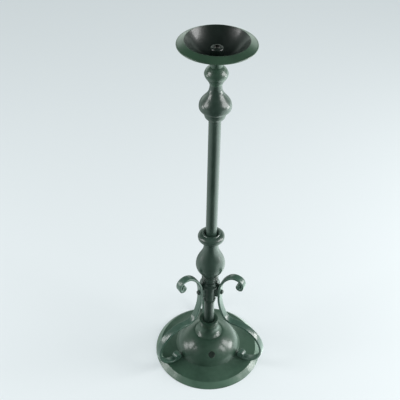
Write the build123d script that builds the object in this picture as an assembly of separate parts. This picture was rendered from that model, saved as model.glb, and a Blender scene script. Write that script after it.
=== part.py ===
"""Tall candlestick: a turned column on a hollow threaded rod, braced by three flat-bar scrolls.

Millimetres, Z up. The origin is on the table, on the column's axis. Three scroll arms stand at 120
degrees: two lean to the front left and right, the third points straight back (+Y).
"""
import os
from math import atan2, cos, hypot, radians, sin, sqrt

from build123d import *

# Fits and clearances
socket_clearance = 0.05      # radial, tube in its socket and screw in its hole
rod_clearance = 0.2          # radial, threaded rod through the turned pieces
foot_gap = 0.15              # scroll foot above the base
core_overlap = 0.2           # core of an eye into the bar round it
flange_gap = 0.2             # flange edge to the back of an arm
hole_play = 0.15             # radial, screw through an arm

# Threaded rod, hollow, from under the base up into the pan
rod_r = 5.0
rod_bore_r = 3.0
rod_tail = 5.0               # below the base nut
rod_tip = 1.2                # above the pan nut
rod_chamfer = 0.6

# Base: spun shell with a sloping brim, a shallow hollow and a dome
base_r = 99.6
base_wall = 2.5
base_edge_h = 1.6
brim_ridge_r = 91.0
brim_ridge_h = 10.2
hollow_sag = 0.7             # how far the ring round the dome dips below a straight cone
dome_foot_r = 60.5
dome_foot_h = 16.6
dome_bulge = 5.9             # how far the dome stands proud of a straight cone
dome_top_r = 25.6
base_h = 50.0
cord_hole_r = 6.2
cord_hole_share = 0.46       # of the way up the dome
cord_hole_azimuth = 4.0      # degrees to the right of the front

# Neck: bell-mouthed turning on the dome, with a beaded, dished rim
neck_h = 33.0
neck_foot_r = 24.8
neck_waist_r = 15.6
neck_waist_h = 18.0
neck_rim_r = 17.4
neck_rim_h = 12.0
neck_dish = 3.0
neck_dish_sag = 0.8          # how far the dish dips below a straight cone
neck_rim_width = 2.6
neck_rim_step = 0.8          # height of the slope under the rim
neck_rim_chamfer = 0.6
neck_foot_edge = 1.2
neck_groove_r = 0.7
neck_groove_levels = (0.35, 0.65)    # shares of the rim's height

# Tubes
tube_r = 9.52
tube_wall = 1.6
socket_depth = 8.0
lower_tube_show = 51.0       # neck rim to hub
column_show = 228.5          # collar rim to seat

# Hub with three lugs
hub_r = 13.2
hub_h = 42.5
hub_foot_r = 10.3
hub_foot_h = 12.0            # height of the rounded foot
lug_reach = 18.4             # axis to the face an arm bears on
lug_h = 20.0
lug_drop = 11.5              # hub top down to the arm screw

# Flange and ringed waist above the hub
flange_h = 10.0
flange_lip = 1.8
flange_sag = 1.0             # how far the cove dips below a straight cone
flange_neck_r = 15.0
waist_r = 14.9
waist_h = 14.5
waist_bead_r = 1.2
waist_beads = 3

# Baluster
baluster_h = 80.5
baluster_foot_r = 14.9
baluster_belly_r = 25.6
baluster_belly_h = 25.0
baluster_waist_r = 12.6
baluster_waist_h = 68.0
baluster_top_r = 13.4

# Collar: thick bead with a raised inner ring, dished round the column
collar_h = 16.5
collar_r = 22.9
collar_foot_r = 15.0
collar_belly_h = 8.0
collar_ring_r = 14.4
collar_ring_width = 2.2
collar_ring_h = 1.2
collar_ring_slope = 0.8      # spread of the ring's outer face
collar_dish = 5.0

# Seat, bell and bead at the top of the column
seat_h = 13.5
seat_foot_r = 10.6
seat_r = 16.7
seat_edge = 3.0
bell_h = 46.5
bell_foot_r = 15.5
bell_r = 24.8
bell_belly_h = 9.5
bell_flank_r = 17.3          # where the sweep turns from rounded to hollow
bell_flank_h = 25.6
bell_neck_r = 9.2
bead_h = 29.5
bead_r = 17.8
bead_belly_h = 17.8
bead_edge = 1.6              # height of the narrow band round the belly
bead_neck_r = 9.4
pan_seat_h = 13.0
pan_seat_r = 15.5
pan_seat_edge = 0.8

# Pan: spun bowl with an outward-falling brim and a rolled edge
pan_wall = 1.5
pan_floor_r = 17.0
pan_lip_r = 47.0
pan_depth = 28.5             # underside of the floor to the lip
pan_brim_r = 57.0
pan_brim_fall = 5.7
pan_roll_r = 1.2
pan_knee_drop = 2.7          # lip down to the inside of the bend under it

# Pan nut and washer
nut_r = 10.0
nut_h = 15.0
nut_round = 3.0
pan_washer_r = 12.5
pan_washer_h = 1.2

# Fixings under the base
base_washer_r = 19.0
base_washer_h = 2.0
lock_washer_r = 9.2
lock_washer_h = 1.5
base_nut_flats = 16.0
base_nut_h = 6.0

# Scroll arms, flat bar; radii and turns (degrees) of the centre line's arcs, away from the hub
bar_t = 4.5
bar_w = 12.5
bar_round = 0.7
arm_azimuths = {"right": 60.0, "left": -60.0, "back": 180.0}
arm_rise = 4.0               # straight bar above the screw before the top curl
curl_radii = [54.0, 17.5, 13.5]
curl_turns = [-48.0, -59.0, -98.0]
sweep_radii = [97.0, 21.0, 52.0, 38.0, 27.0]
sweep_turns = [27.0, 69.0, -77.0, -76.0, -50.0]
eye_r = 4.7                  # centre line of the rolled eye at each end
eye_turn = -262.0

# Arm screws
screw_r = 2.0
screw_head_r = 4.4
screw_head_h = 4.2
screw_head_round = 1.2
screw_bite = 9.0             # depth of the screw's hole behind the lug face
screw_end_gap = 1.0          # screw's end to the bottom of its hole
screw_slot_w = 1.0
screw_slot_depth = 0.8

# Heights of the joints in the stack, from the table up
neck_z = base_h
neck_top = neck_z + neck_h
hub_z = neck_top + lower_tube_show
hub_top = hub_z + hub_h
waist_z = hub_top + flange_h
baluster_z = waist_z + waist_h
collar_z = baluster_z + baluster_h
collar_top = collar_z + collar_h
seat_z = collar_top + column_show
bell_z = seat_z + seat_h
bead_z = bell_z + bell_h
pan_seat_z = bead_z + bead_h
pan_z = pan_seat_z + pan_seat_h
pan_lip_z = pan_z + pan_depth
nut_z = pan_z + pan_wall + pan_washer_h
rod_top = nut_z + nut_h + rod_tip
washer_z = base_h - base_wall - base_washer_h
lock_z = washer_z - lock_washer_h
base_nut_z = lock_z - base_nut_h
rod_bottom = base_nut_z - rod_tail
screw_z = hub_top - lug_drop
arm_r = lug_reach + bar_t / 2
bore_r = rod_r + rod_clearance
socket_r = tube_r + socket_clearance
top_curl = list(zip(curl_radii + [eye_r], curl_turns + [eye_turn]))
side_sweep = list(zip(sweep_radii + [eye_r], sweep_turns + [eye_turn]))

# Fineness of worked-out shapes
offset_spans = 6             # spans of a spline that stands in for an offset curve
foot_samples = 60            # places along an arc where a foot is measured


def bulged(a, b, bulge):
    """Middle point of an arc from a to b that stands off the chord by bulge, to the right of travel."""
    run, rise = b[0] - a[0], b[1] - a[1]
    length = hypot(run, rise)
    return ((a[0] + b[0]) / 2 + bulge * rise / length, (a[1] + b[1]) / 2 - bulge * run / length)


def outline(start, *steps, close=True):
    """Edges through (radius, height) points. A step is a point, ("arc", bulge, end), a long shallow
    ("bow", bulge, end) or ("curve", points, first direction, last direction)."""
    edges = []
    here = start
    for step in steps:
        if step[0] == "arc":
            edges.append(ThreePointArc(here, bulged(here, step[2], step[1]), step[2]))
            here = step[2]
        elif step[0] == "bow":
            arc = ThreePointArc(here, bulged(here, step[2], step[1]), step[2])
            edges.append(Spline(here, arc @ 0.5, step[2], tangents=(arc % 0, arc % 1)))
            here = step[2]
        elif step[0] == "curve":
            edges.append(Spline(here, *step[1], tangents=(step[2], step[3])))
            here = step[1][-1]
        else:
            edges.append(Line(here, step))
            here = step
    if close:
        edges.append(Line(here, start))
    return Curve() + edges


def lathe(edges):
    """Turn a closed (radius, height) outline round the column's axis."""
    return revolve(Plane.XZ * make_face(edges), Axis.Z)


def ring(outer_r, inner_r, bottom, height):
    """Plain ring between two radii."""
    return Pos(0, 0, bottom) * extrude(Circle(outer_r) - Circle(inner_r), height)


def hollow_height(r):
    """Height of the base's upper surface in the ring between the brim ridge and the dome's foot."""
    share = (brim_ridge_r - r) / (brim_ridge_r - dome_foot_r)
    straight = brim_ridge_h + share * (dome_foot_h - brim_ridge_h)
    return straight - 4 * hollow_sag * share * (1 - share)


def plain_curve(edge):
    """An edge as it is, or as a spline where it is an offset of one, which a STEP file can't hold."""
    if edge.geom_type != GeomType.OFFSET:
        return edge
    points = [edge @ (i / offset_spans) for i in range(offset_spans + 1)]
    return Spline(points, tangents=(edge % 0, edge % 1))


def make_base():
    """Spun shell of one wall thickness, open below, with the rod's hole and the cord's hole."""
    line = outline((base_r, 0), (base_r, base_edge_h), (brim_ridge_r, brim_ridge_h),
                   ("bow", -hollow_sag, (dome_foot_r, dome_foot_h)),
                   ("bow", dome_bulge, (dome_top_r, base_h)), (bore_r, base_h), close=False)
    skin = offset(line, amount=base_wall, side=Side.LEFT, closed=True)
    shell = lathe([plain_curve(edge) for edge in skin.edges()])
    run, rise = dome_foot_r - dome_top_r, base_h - dome_foot_h
    slope = atan2(rise, run)
    spot = (dome_foot_r - cord_hole_share * run + dome_bulge * sin(slope), 0,
            dome_foot_h + cord_hole_share * rise + dome_bulge * cos(slope))
    drill = Plane(spot, x_dir=(cos(slope), 0, -sin(slope)), z_dir=(sin(slope), 0, cos(slope)))
    cutter = drill * Cylinder(cord_hole_r, 4 * base_wall)
    return shell - Rot(0, 0, cord_hole_azimuth - 90) * cutter


def make_neck():
    """Bell-mouthed turning with a dished rim and two fine grooves; the lower tube stands in it."""
    rim_z = neck_top - neck_rim_h
    line = outline((bore_r, neck_z), (neck_foot_r, neck_z), (neck_foot_r, neck_z + neck_foot_edge),
                   ("curve", [(neck_waist_r, neck_z + neck_waist_h)], (-1, 0.6), (0, 1)),
                   (neck_waist_r, rim_z), (neck_rim_r, rim_z + neck_rim_step),
                   (neck_rim_r, neck_top - neck_rim_chamfer), (neck_rim_r - neck_rim_chamfer, neck_top),
                   (neck_rim_r - neck_rim_width, neck_top),
                   ("bow", neck_dish_sag, (socket_r, neck_top - neck_dish)),
                   (socket_r, neck_top - neck_dish - socket_depth),
                   (bore_r, neck_top - neck_dish - socket_depth))
    neck = lathe(line)
    for level in neck_groove_levels:
        groove = Plane.XZ * Pos(neck_rim_r, rim_z + level * neck_rim_h) * Circle(neck_groove_r)
        neck -= revolve(groove, Axis.Z)
    return neck


def make_tube(bottom, top):
    return ring(tube_r, tube_r - tube_wall, bottom, top - bottom)


def make_hub():
    """Round hub with a rounded foot and three lugs; the lower tube ends in it."""
    line = outline((socket_r, hub_z), (hub_foot_r, hub_z),
                   ("curve", [(hub_r, hub_z + hub_foot_h)], (0.5, 1), (0, 1)),
                   (hub_r, hub_top), (bore_r, hub_top), (bore_r, hub_z + socket_depth),
                   (socket_r, hub_z + socket_depth))
    hub = lathe(line)
    for azimuth in arm_azimuths.values():
        lug = Box(lug_reach, bar_w, lug_h, align=(Align.MIN, Align.CENTER, Align.CENTER))
        lug -= Cylinder((hub_r + bore_r) / 2, lug_h)
        drill = Rot(0, 90, 0) * Cylinder(screw_r + socket_clearance, 2 * screw_bite)
        turn = Rot(0, 0, azimuth - 90) * Pos(0, 0, screw_z)
        hub = hub + turn * lug - turn * Pos(lug_reach, 0, 0) * drill
    return hub


def make_flange():
    """Cove that spreads from the waist to a thin lip over the arms."""
    flange_r = lug_reach - flange_gap
    return lathe(outline((bore_r, hub_top), (flange_r, hub_top), (flange_r, hub_top + flange_lip),
                         ("bow", -flange_sag, (flange_neck_r, waist_z)), (bore_r, waist_z)))


def make_waist():
    """Short drum with raised beads."""
    waist = ring(waist_r - waist_bead_r / 2, bore_r, waist_z, waist_h)
    pitch = waist_h / waist_beads
    for i in range(waist_beads):
        level = waist_z + (i + 0.5) * pitch
        waist += revolve(Plane.XZ * Pos(waist_r - waist_bead_r, level) * Circle(waist_bead_r), Axis.Z)
    return waist


def make_baluster():
    """Pear-shaped turning, fullest low down, drawn in to a slim neck."""
    return lathe(outline((bore_r, baluster_z), (baluster_foot_r, baluster_z),
                         ("curve", [(baluster_belly_r, baluster_z + baluster_belly_h)],
                          (0.5, 1), (0, 1)),
                         ("curve", [(baluster_waist_r, baluster_z + baluster_waist_h)],
                          (0, 1), (0, 1)),
                         ("curve", [(baluster_top_r, collar_z)], (0, 1), (0.5, 1)),
                         (bore_r, collar_z)))


def make_collar():
    """Thick bead; its top has a raised ring and is dished round the foot of the column."""
    shoulder = collar_ring_r + collar_ring_slope
    floor = collar_top - collar_dish
    return lathe(outline((bore_r, collar_z), (collar_foot_r, collar_z),
                         ("curve", [(collar_r, collar_z + collar_belly_h),
                                    (shoulder, collar_top - collar_ring_h)], (1, 0.2), (-1, 0.15)),
                         (collar_ring_r, collar_top), (collar_ring_r - collar_ring_width, collar_top),
                         (socket_r, floor), (socket_r, floor - socket_depth),
                         (bore_r, floor - socket_depth)))


def make_seat():
    """Half bead under the bell; the column ends in it."""
    return lathe(outline((socket_r, seat_z), (seat_foot_r, seat_z),
                         ("curve", [(seat_r, bell_z - seat_edge)], (1, 0.6), (0, 1)),
                         (seat_r, bell_z), (bore_r, bell_z), (bore_r, seat_z + socket_depth),
                         (socket_r, seat_z + socket_depth)))


def make_bell():
    """Upturned bell: a rounded foot that sweeps in to a slim neck."""
    return lathe(outline((bore_r, bell_z), (bell_foot_r, bell_z),
                         ("curve", [(bell_r, bell_z + bell_belly_h)], (1, 0.25), (0, 1)),
                         ("curve", [(bell_flank_r, bell_z + bell_flank_h)], (0, 1), (-0.9, 1)),
                         ("curve", [(bell_neck_r, bead_z)], (-0.9, 1), (0, 1)),
                         (bore_r, bead_z)))


def make_bead():
    """Bead with a narrow edge between two slim necks."""
    belly = bead_z + bead_belly_h
    return lathe(outline((bore_r, bead_z), (bead_neck_r, bead_z),
                         ("curve", [(bead_r, belly - bead_edge / 2)], (0.2, 1), (0.2, 1)),
                         (bead_r, belly + bead_edge / 2),
                         ("curve", [(bead_neck_r, pan_seat_z)], (-0.3, 1), (-1, 0.6)),
                         (bore_r, pan_seat_z)))


def make_pan_seat():
    """Trumpet-shaped washer that spreads the column's top under the pan."""
    return lathe(outline((bore_r, pan_seat_z), (bead_neck_r, pan_seat_z),
                         ("curve", [(pan_seat_r, pan_z - pan_seat_edge)], (0.1, 1), (1, 0.35)),
                         (pan_seat_r, pan_z), (bore_r, pan_z)))


def make_pan():
    """Spun bowl of one wall thickness, its brim falling outwards to a rolled edge."""
    floor_z = pan_z + pan_wall
    brim_z = pan_lip_z - pan_brim_fall
    knee = (pan_lip_r + pan_wall, pan_lip_z - pan_knee_drop)
    bowl = lathe(outline((bore_r, pan_z), (pan_floor_r, pan_z), ("curve", [knee], (1, 0.5), (0.7, 1)),
                         (pan_brim_r, brim_z - pan_wall), (pan_brim_r, brim_z), (pan_lip_r, pan_lip_z),
                         ("curve", [(pan_floor_r, floor_z)], (-0.7, -1), (-1, -0.5)),
                         (bore_r, floor_z)))
    edge = Plane.XZ * Pos(pan_brim_r, brim_z - pan_wall / 2) * Circle(pan_roll_r)
    return bowl + revolve(edge, Axis.Z)


def make_nut():
    """Tall round nut with rounded shoulders."""
    return lathe(outline((rod_r + socket_clearance, nut_z), (nut_r, nut_z),
                         (nut_r, nut_z + nut_h - nut_round),
                         ("arc", nut_round * (1 - sqrt(0.5)), (nut_r - nut_round, nut_z + nut_h)),
                         (rod_r + socket_clearance, nut_z + nut_h)))


def make_base_nut():
    """Hexagon nut."""
    bore = Circle(rod_r + socket_clearance)
    nut = extrude(RegularPolygon(base_nut_flats / 2, 6, major_radius=False) - bore, base_nut_h)
    return Pos(0, 0, base_nut_z) * nut


def make_rod():
    """Hollow rod that every turned piece is threaded on."""
    rod = ring(rod_r, rod_bore_r, rod_bottom, rod_top - rod_bottom)
    ends = rod.edges().filter_by(GeomType.CIRCLE).group_by(SortBy.RADIUS)[-1]
    return chamfer(ends, rod_chamfer)


def left_of(aim):
    """Unit vector to the left of a heading in degrees, in the plane of (distance from axis, height)."""
    return Vector(-sin(radians(aim)), cos(radians(aim)))


def bends(start, heading, arcs):
    """Centre, signed radius, first heading and turn of each tangent arc of a bar's centre line."""
    found = []
    here, aim = start, heading
    for radius, turn in arcs:
        signed = radius if turn > 0 else -radius
        centre = here + left_of(aim) * signed
        found.append((centre, signed, aim, turn))
        aim += turn
        here = centre - left_of(aim) * signed
    return found


def bar_face(start, heading, straight, arcs):
    """Side view of a bent bar that ends in an eye, and of the core that fills the eye."""
    run = left_of(heading - 90) * straight
    path = bends(start + run, heading, arcs)
    edges, ends = [], []
    for side in (bar_t / 2, -bar_t / 2):
        here = start + left_of(heading) * side
        edges.append(Line(here, here + run))
        here += run
        for centre, signed, aim, turn in path:
            middle = centre - left_of(aim + turn / 2) * (signed - side)
            end = centre - left_of(aim + turn) * (signed - side)
            edges.append(ThreePointArc(here, middle, end))
            here = end
        ends.append(here)
    edges.append(Line(*ends))
    edges.append(Line(start + left_of(heading) * bar_t / 2, start - left_of(heading) * bar_t / 2))
    eye = Pos(*path[-1][0]) * Circle(eye_r - bar_t / 2 + core_overlap)
    return make_face(Curve() + edges), eye


def foot_drop(start):
    """How far a side sweep that begins at start can come down before its foot meets the base."""
    least = start.Y
    for centre, signed, aim, turn in bends(start, -90, side_sweep):
        for i in range(foot_samples + 1):
            face = centre - left_of(aim + turn * i / foot_samples) * (signed - bar_t / 2)
            corner = hypot(face.X, bar_w / 2)
            if turn < 0 and dome_foot_r < face.X and corner < brim_ridge_r:
                least = min(least, face.Y - hollow_height(face.X), face.Y - hollow_height(corner))
    return least


def make_arm(azimuth):
    """One scroll: a top curl and a long sweep that comes down to the base, bent from one bar."""
    screw_point = Vector(arm_r, screw_z)
    sweep_start = Vector(arm_r, screw_z + arm_rise)
    top, top_core = bar_face(screw_point, 90, arm_rise, top_curl)
    straight = foot_drop(sweep_start) - foot_gap
    low, low_core = bar_face(sweep_start, -90, straight, side_sweep)
    bar = Pos(0, bar_w / 2, 0) * extrude(Plane.XZ * (top + low), bar_w)
    bar = chamfer(bar.faces().filter_by(Axis.Y).edges(), bar_round)
    core_w = bar_w - 2 * bar_round
    bar += Pos(0, core_w / 2, 0) * extrude(Plane.XZ * (top_core + low_core), core_w)
    bar -= Pos(arm_r, 0, screw_z) * Rot(0, 90, 0) * Cylinder(screw_r + hole_play, 2 * bar_t)
    return Rot(0, 0, azimuth - 90) * bar


def make_screw(azimuth):
    """Round-headed screw that holds an arm to its lug."""
    face = lug_reach + bar_t
    reach = bar_t + screw_bite - screw_end_gap
    shank = Pos(0, 0, -reach) * extrude(Circle(screw_r), reach)
    head = extrude(Circle(screw_head_r), screw_head_h)
    head = fillet(head.edges().group_by(Axis.Z)[-1], screw_head_round)
    slot = Pos(0, 0, screw_head_h) * Box(2 * screw_head_r, screw_slot_w, 2 * screw_slot_depth)
    screw = head - slot + shank
    return Rot(0, 0, azimuth - 90) * Pos(face, 0, screw_z) * Rot(0, 90, 0) * screw


parts = {
    "base_shell": make_base(),
    "neck": make_neck(),
    "lower_tube": make_tube(neck_top - neck_dish - socket_depth, hub_z + socket_depth),
    "hub": make_hub(),
    "flange": make_flange(),
    "ringed_waist": make_waist(),
    "baluster": make_baluster(),
    "collar": make_collar(),
    "column_tube": make_tube(collar_top - collar_dish - socket_depth, seat_z + socket_depth),
    "column_seat": make_seat(),
    "bell": make_bell(),
    "top_bead": make_bead(),
    "pan_seat": make_pan_seat(),
    "drip_pan": make_pan(),
    "pan_washer": ring(pan_washer_r, bore_r, pan_z + pan_wall, pan_washer_h),
    "pan_nut": make_nut(),
    "threaded_rod": make_rod(),
    "base_washer": ring(base_washer_r, bore_r, washer_z, base_washer_h),
    "lock_washer": ring(lock_washer_r, bore_r, lock_z, lock_washer_h),
    "base_nut": make_base_nut(),
}
for place, azimuth in arm_azimuths.items():
    parts["scroll_arm_" + place] = make_arm(azimuth)
    parts["arm_screw_" + place] = make_screw(azimuth)

os.makedirs("parts", exist_ok=True)
for name, shape in parts.items():
    export_step(shape, f"parts/{name}.step")
print(len(parts), "nodes, top of the pan's lip at", round(pan_lip_z, 1))
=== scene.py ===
# %% [markdown]
# # A turned candlestick in dark green enamel
#
# The object is a tall metal candlestick. A turned column stands on a domed round base, three bent bars
# brace its foot, and a pan that catches the wax tops it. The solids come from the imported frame. This
# lesson makes the surfaces that show: every turned piece is drawn as a profile and spun, as on a lathe,
# and every scroll is bent from one flat bar. Then each piece gets its finish.

# %% Load the frame
import math

import bmesh
import bpy
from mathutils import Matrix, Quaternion, Vector


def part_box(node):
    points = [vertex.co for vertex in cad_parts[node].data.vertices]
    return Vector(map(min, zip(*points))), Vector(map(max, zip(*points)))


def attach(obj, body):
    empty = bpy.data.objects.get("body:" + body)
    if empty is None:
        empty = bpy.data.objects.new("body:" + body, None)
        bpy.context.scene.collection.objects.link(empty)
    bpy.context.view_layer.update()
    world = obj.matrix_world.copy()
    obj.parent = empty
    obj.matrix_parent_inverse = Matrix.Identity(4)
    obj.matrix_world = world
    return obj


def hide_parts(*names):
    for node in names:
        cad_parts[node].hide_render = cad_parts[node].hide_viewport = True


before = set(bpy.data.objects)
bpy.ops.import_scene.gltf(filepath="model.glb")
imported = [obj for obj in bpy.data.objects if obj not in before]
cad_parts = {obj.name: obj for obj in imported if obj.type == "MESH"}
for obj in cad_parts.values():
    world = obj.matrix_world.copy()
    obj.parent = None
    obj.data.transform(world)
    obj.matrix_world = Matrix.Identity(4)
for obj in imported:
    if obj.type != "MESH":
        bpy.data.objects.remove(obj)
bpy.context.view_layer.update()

# %% [markdown]
# ## The camera
#
# The photograph looks down on the stick from above and a little from its left. A long lens was used, so
# the column hardly narrows towards the base. We place the camera at the spot found for it, turn it to
# its heading and roll it by one degree, because the photographer did not hold it quite level.

# %% Camera
camera_spot = Vector((-0.0835, -0.95437, 1.15577))
camera_heading = Vector((0.05106, 0.77088, -0.63493))
camera_lens_mm = 68.38
camera_roll = math.radians(1.01)

bpy.ops.object.select_all(action="DESELECT")
bpy.ops.object.camera_add(location=camera_spot)
camera = bpy.context.object
camera.name = "photo_camera"
camera.rotation_mode = "QUATERNION"
level_turn = camera_heading.to_track_quat("-Z", "Y")
camera.rotation_quaternion = level_turn @ Quaternion((0, 0, 1), camera_roll)
camera.data.lens = camera_lens_mm
camera.data.sensor_width = 36.0
camera.data.clip_end = 20.0
bpy.context.scene.camera = camera
bpy.context.scene.view_settings.view_transform = "Standard"
print("camera", [round(v, 3) for v in camera.location], "lens", camera_lens_mm)

# %% [markdown]
# ## The table and the room
#
# The stick stands on a pale sheet in a bright room. The sheet is lit by the lamps, so it takes the
# stick's soft shadow. What the camera sees of it is lifted to the pale blue white of the photograph by a
# little emission, which lights nothing. Gloss meets the sheet as it is further out: bright at the right,
# where the main lamp floods it, fainter at the left, and dark in front, where the sheet ends. Under the
# base it is dark, so the cord hole looks black.

# %% Node helpers
def adder(tree):
    """A function that adds a node of a kind to the tree, at a place and with its settings."""
    def add(kind, x, y, **settings):
        node = tree.nodes.new(kind)
        node.location = (x, y)
        for key, value in settings.items():
            setattr(node, key, value)
        return node

    return add


def fill(node, **values):
    """Set input sockets by name, with _ for a space, and hand the node back."""
    for label, value in values.items():
        node.inputs[label.replace("_", " ")].default_value = value
    return node


def join(tree, *pairs):
    """Link pairs of an output socket and an input socket."""
    for start, end in pairs:
        tree.links.new(start, end)


def smooth_ramp(add, x, y, low, high, strength=1.0):
    """A node whose result rises smoothly from 0 at low to a strength at high."""
    return fill(add("ShaderNodeMapRange", x, y, interpolation_type="SMOOTHSTEP"),
                From_Min=low, From_Max=high, To_Max=strength)


def new_material(name):
    """A material with an empty node tree, and a function that adds nodes to it."""
    material = bpy.data.materials.new(name)
    material.use_nodes = True
    material.node_tree.nodes.clear()
    return material, material.node_tree, adder(material.node_tree)


print("node helpers made")

# %% Sheet under the stick
paper_white = (0.65, 0.73, 0.75, 1.0)
paper_lit = (0.84, 0.87, 0.88, 1.0)
paper_size = 9.0
paper_lift = 0.55            # share of the paper's look that is its own glow
flood_tint = (0.86, 1.0, 0.95, 1.0)
flood_right, flood_left, flood_back = 2.6, 0.75, 0.30
covered_r = 0.09             # no light reaches the sheet closer to the axis than this

bpy.ops.mesh.primitive_plane_add(size=paper_size, location=(0, 0, 0))
paper = bpy.context.object
paper.name = "paper_sheet"


def paper_material():
    """White paper: lit by the lamps, glowing for the camera, flooded from the sides for reflections."""
    material, tree, add = new_material("paper")
    place = add("ShaderNodeTexCoord", -1300, -300)
    away = add("ShaderNodeVectorMath", -1100, -200, operation="NORMALIZE")
    length = add("ShaderNodeVectorMath", -1100, -400, operation="LENGTH")
    axes = add("ShaderNodeSeparateXYZ", -900, -200)
    open_air = add("ShaderNodeMath", -900, -400, operation="GREATER_THAN")
    open_air.inputs[1].default_value = covered_r
    right = smooth_ramp(add, -500, 100, 0.35, 0.95, flood_right)
    left = smooth_ramp(add, -500, -150, -0.45, -0.95, flood_left)
    back = smooth_ramp(add, -500, -400, 0.3, 0.95, flood_back)
    sides = add("ShaderNodeMath", -300, -200, operation="ADD")
    total = add("ShaderNodeMath", -150, -200, operation="ADD")
    flood = fill(add("ShaderNodeEmission", 0, -200), Color=flood_tint)
    surface = fill(add("ShaderNodeBsdfDiffuse", -200, 200), Color=paper_lit)
    glow = fill(add("ShaderNodeEmission", -200, 0), Color=paper_white)
    rays = add("ShaderNodeLightPath", -600, 500)
    share = add("ShaderNodeMath", -200, 400, operation="MULTIPLY")
    share.inputs[1].default_value = paper_lift
    seen = add("ShaderNodeMixShader", 0, 200)
    met = add("ShaderNodeMixShader", 250, 200)
    out = add("ShaderNodeOutputMaterial", 450, 200)
    join(tree,
         (place.outputs["Object"], length.inputs[0]),
         (place.outputs["Object"], away.inputs[0]),
         (length.outputs["Value"], open_air.inputs[0]),
         (away.outputs[0], axes.inputs[0]),
         (axes.outputs["X"], right.inputs["Value"]),
         (axes.outputs["X"], left.inputs["Value"]),
         (axes.outputs["Y"], back.inputs["Value"]),
         (right.outputs[0], sides.inputs[0]),
         (left.outputs[0], sides.inputs[1]),
         (sides.outputs[0], total.inputs[0]),
         (back.outputs[0], total.inputs[1]),
         (total.outputs[0], flood.inputs["Strength"]),
         (open_air.outputs[0], glow.inputs["Strength"]),
         (rays.outputs["Is Camera Ray"], share.inputs[0]),
         (share.outputs[0], seen.inputs[0]),
         (surface.outputs[0], seen.inputs[1]),
         (glow.outputs[0], seen.inputs[2]),
         (rays.outputs["Is Glossy Ray"], met.inputs[0]),
         (seen.outputs[0], met.inputs[1]),
         (flood.outputs[0], met.inputs[2]),
         (met.outputs[0], out.inputs["Surface"]))
    return material


paper.data.materials.append(paper_material())
print("paper", paper_size, "m wide")

# %% Room light
room_strength = 0.47
room_white = (0.93, 0.98, 1.0, 1.0)
sweep_strength = 1.4         # of the white sweep behind, as gloss meets it
sweep_white = (0.88, 1.0, 0.93, 1.0)
dark_room = (0.022, 0.030, 0.027, 1.0)


def light_room(tree):
    """An even fill, a dark room with a low sweep behind it for gloss, and pale paper for the camera."""
    add = adder(tree)
    way = add("ShaderNodeTexCoord", -900, 0)
    axes = add("ShaderNodeSeparateXYZ", -700, 0)
    behind = smooth_ramp(add, -500, 100, 0.25, 0.85)
    low_down = smooth_ramp(add, -500, -150, 0.55, 0.30)
    share = add("ShaderNodeMath", -300, 0, operation="MULTIPLY")
    even = fill(add("ShaderNodeBackground", 0, 300), Color=room_white, Strength=room_strength)
    dark = fill(add("ShaderNodeBackground", -300, -200), Color=dark_room)
    sweep = fill(add("ShaderNodeBackground", -300, -350), Color=sweep_white, Strength=sweep_strength)
    seen = fill(add("ShaderNodeBackground", 200, -200), Color=paper_white)
    rays = add("ShaderNodeLightPath", 0, 600)
    sweep_mix = add("ShaderNodeMixShader", 0, 0)
    mirror_mix = add("ShaderNodeMixShader", 250, 100)
    camera_mix = add("ShaderNodeMixShader", 450, 0)
    out = add("ShaderNodeOutputWorld", 650, 0)
    join(tree,
         (way.outputs["Generated"], axes.inputs[0]),
         (axes.outputs["Y"], behind.inputs["Value"]),
         (axes.outputs["Z"], low_down.inputs["Value"]),
         (behind.outputs[0], share.inputs[0]),
         (low_down.outputs[0], share.inputs[1]),
         (share.outputs[0], sweep_mix.inputs[0]),
         (dark.outputs[0], sweep_mix.inputs[1]),
         (sweep.outputs[0], sweep_mix.inputs[2]),
         (rays.outputs["Is Glossy Ray"], mirror_mix.inputs[0]),
         (even.outputs[0], mirror_mix.inputs[1]),
         (sweep_mix.outputs[0], mirror_mix.inputs[2]),
         (rays.outputs["Is Camera Ray"], camera_mix.inputs[0]),
         (mirror_mix.outputs[0], camera_mix.inputs[1]),
         (seen.outputs[0], camera_mix.inputs[2]),
         (camera_mix.outputs[0], out.inputs["Surface"]))


world = bpy.data.worlds.new("studio_room")
bpy.context.scene.world = world
world.use_nodes = True
world.node_tree.nodes.clear()
light_room(world.node_tree)
print("room fill", room_strength)

# %% [markdown]
# ## The soft boxes
#
# The enamel shows two pale streaks on every round piece, a strong one at its right and a weaker one at
# its left, and is nearly black between them. Two large soft boxes stand far out at the right and the left,
# and nothing bright stands between them. A small low box under each of them lights the flanks that look
# straight sideways. The camera doesn't see the boxes, so they don't show in views from the side.

# %% Soft boxes
aim_height = 0.30


def softbox(name, azimuth, elevation, distance, width, height, power):
    """An area lamp at an azimuth from the front (-Y), positive towards +X, aimed at the column."""
    turn, rise = math.radians(azimuth), math.radians(elevation)
    aim = Vector((0, 0, aim_height))
    away = Vector((math.sin(turn) * math.cos(rise), -math.cos(turn) * math.cos(rise), math.sin(rise)))
    bpy.ops.object.light_add(type="AREA", location=aim + away * distance)
    lamp = bpy.context.object
    lamp.name = name
    lamp.rotation_euler = (-away).to_track_quat("-Z", "Y").to_euler()
    lamp.data.shape = "RECTANGLE"
    lamp.data.size = width
    lamp.data.size_y = height
    lamp.data.energy = power
    lamp.visible_camera = False
    print(name, "at", [round(v, 2) for v in lamp.location], power, "W")
    return lamp


softbox("soft_box_right", 78, 31, 1.7, 1.1, 0.85, 24)
softbox("soft_box_left", -80, 30, 1.8, 0.8, 0.8, 15)
softbox("low_box_right", 92, 6, 1.5, 0.55, 0.42, 10)
softbox("low_box_left", -95, 5, 1.5, 0.45, 0.42, 3.6)

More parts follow.
